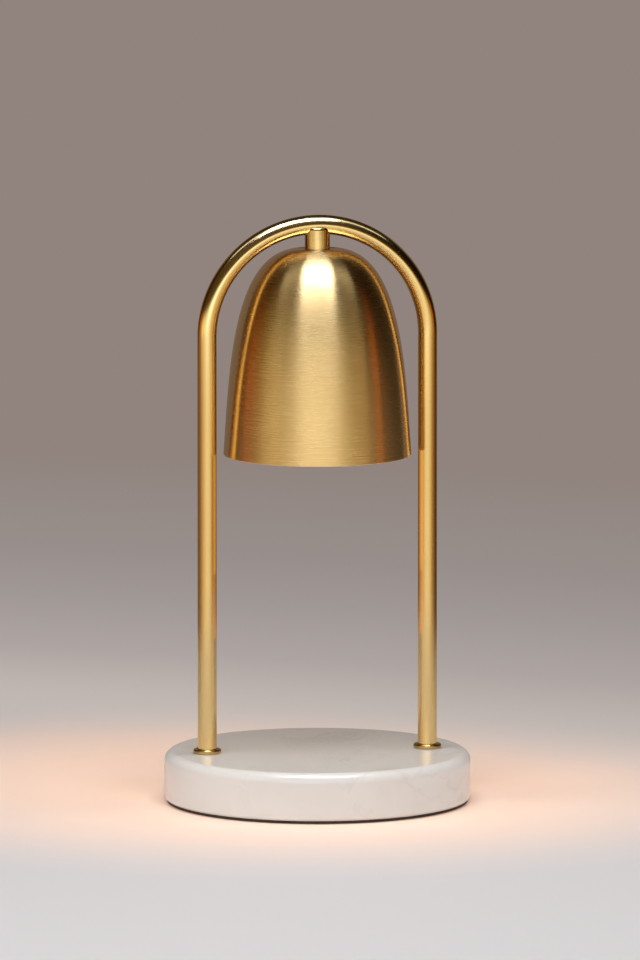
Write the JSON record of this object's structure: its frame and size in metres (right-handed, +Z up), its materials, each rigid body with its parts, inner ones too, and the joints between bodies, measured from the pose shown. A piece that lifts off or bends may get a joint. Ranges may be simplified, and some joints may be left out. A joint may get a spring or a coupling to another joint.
{
  "type": "candle warmer lamp",
  "caption": "Candle warmer lamp: brass arch on a round marble base, with a bell shade and a twist-lock reflector lamp pointing down at the candle place.",
  "frame": {"origin": "centre of the foam pad's underside, on the surface that the lamp stands on", "axes": "+Z up, +X along the arch's width towards the right leg, -Y the front, +Y the cord inlet"},
  "size_m": [0.16, 0.16, 0.308],
  "materials": {
    "white_marble": "polished, with faint grey veins",
    "foam_rubber": "fine closed-cell foam, matt",
    "brushed_brass": "satin, spun, brushed round the axis, lacquered",
    "satin_brass_tube": "satin to polished, lacquered",
    "polished_brass": "polished, lacquered",
    "turned_brass": "as turned",
    "zinc_steel": "zinc plated",
    "nickel": "nickel plated",
    "white_nylon": "moulded, matt",
    "steatite": "unglazed pressed steatite",
    "lamp_ceramic": "glazed",
    "mirror_glass": "pressed glass, aluminised inside",
    "clear_glass": "clear pressed glass",
    "quartz": "clear quartz",
    "silicone_lead": "silicone sleeve"
  },
  "bodies": {
    "stand": {"foot_pad": "foam_rubber", "marble_base": "white_marble", "cord_bush": "white_nylon", "wiring_cover": "zinc_steel", "cover_inserts": "turned_brass", "cover_screws": "zinc_steel", "terminal_block": "white_nylon", "terminal_ways": "turned_brass", "terminal_screws": "zinc_steel", "block_screw": "zinc_steel", "cord_clamp": "white_nylon", "clamp_screws": "zinc_steel", "arch_tube": "satin_brass_tube", "left_collar": "polished_brass", "left_leg_thread": "turned_brass", "left_leg_washer": "zinc_steel", "left_leg_nut": "zinc_steel", "right_collar": "polished_brass", "right_leg_thread": "turned_brass", "right_leg_washer": "zinc_steel", "right_leg_nut": "zinc_steel", "stem": "polished_brass", "stem_thread": "zinc_steel", "shade": "brushed_brass", "seat_washer": "zinc_steel", "holder_bracket": "zinc_steel", "lock_washer": "zinc_steel", "stem_nut": "zinc_steel", "holder_body": "steatite", "holder_faceplate": "steatite", "holder_screws": "zinc_steel", "contact_springs": "turned_brass", "lamp_lead": "silicone_lead"},
    "lamp": {"lamp_base": "lamp_ceramic", "lamp_pins": "nickel", "lamp_reflector": "mirror_glass", "lamp_front_glass": "clear_glass", "lamp_capsule": "quartz"}
  },
  "joints": [
    {"name": "lamp_twist", "type": "hinge", "parent": "stand", "child": "lamp", "pos_m": [0, 0, 0.2607], "axis": [0, 0, -1], "range_deg": [0, 40]}
  ]
}
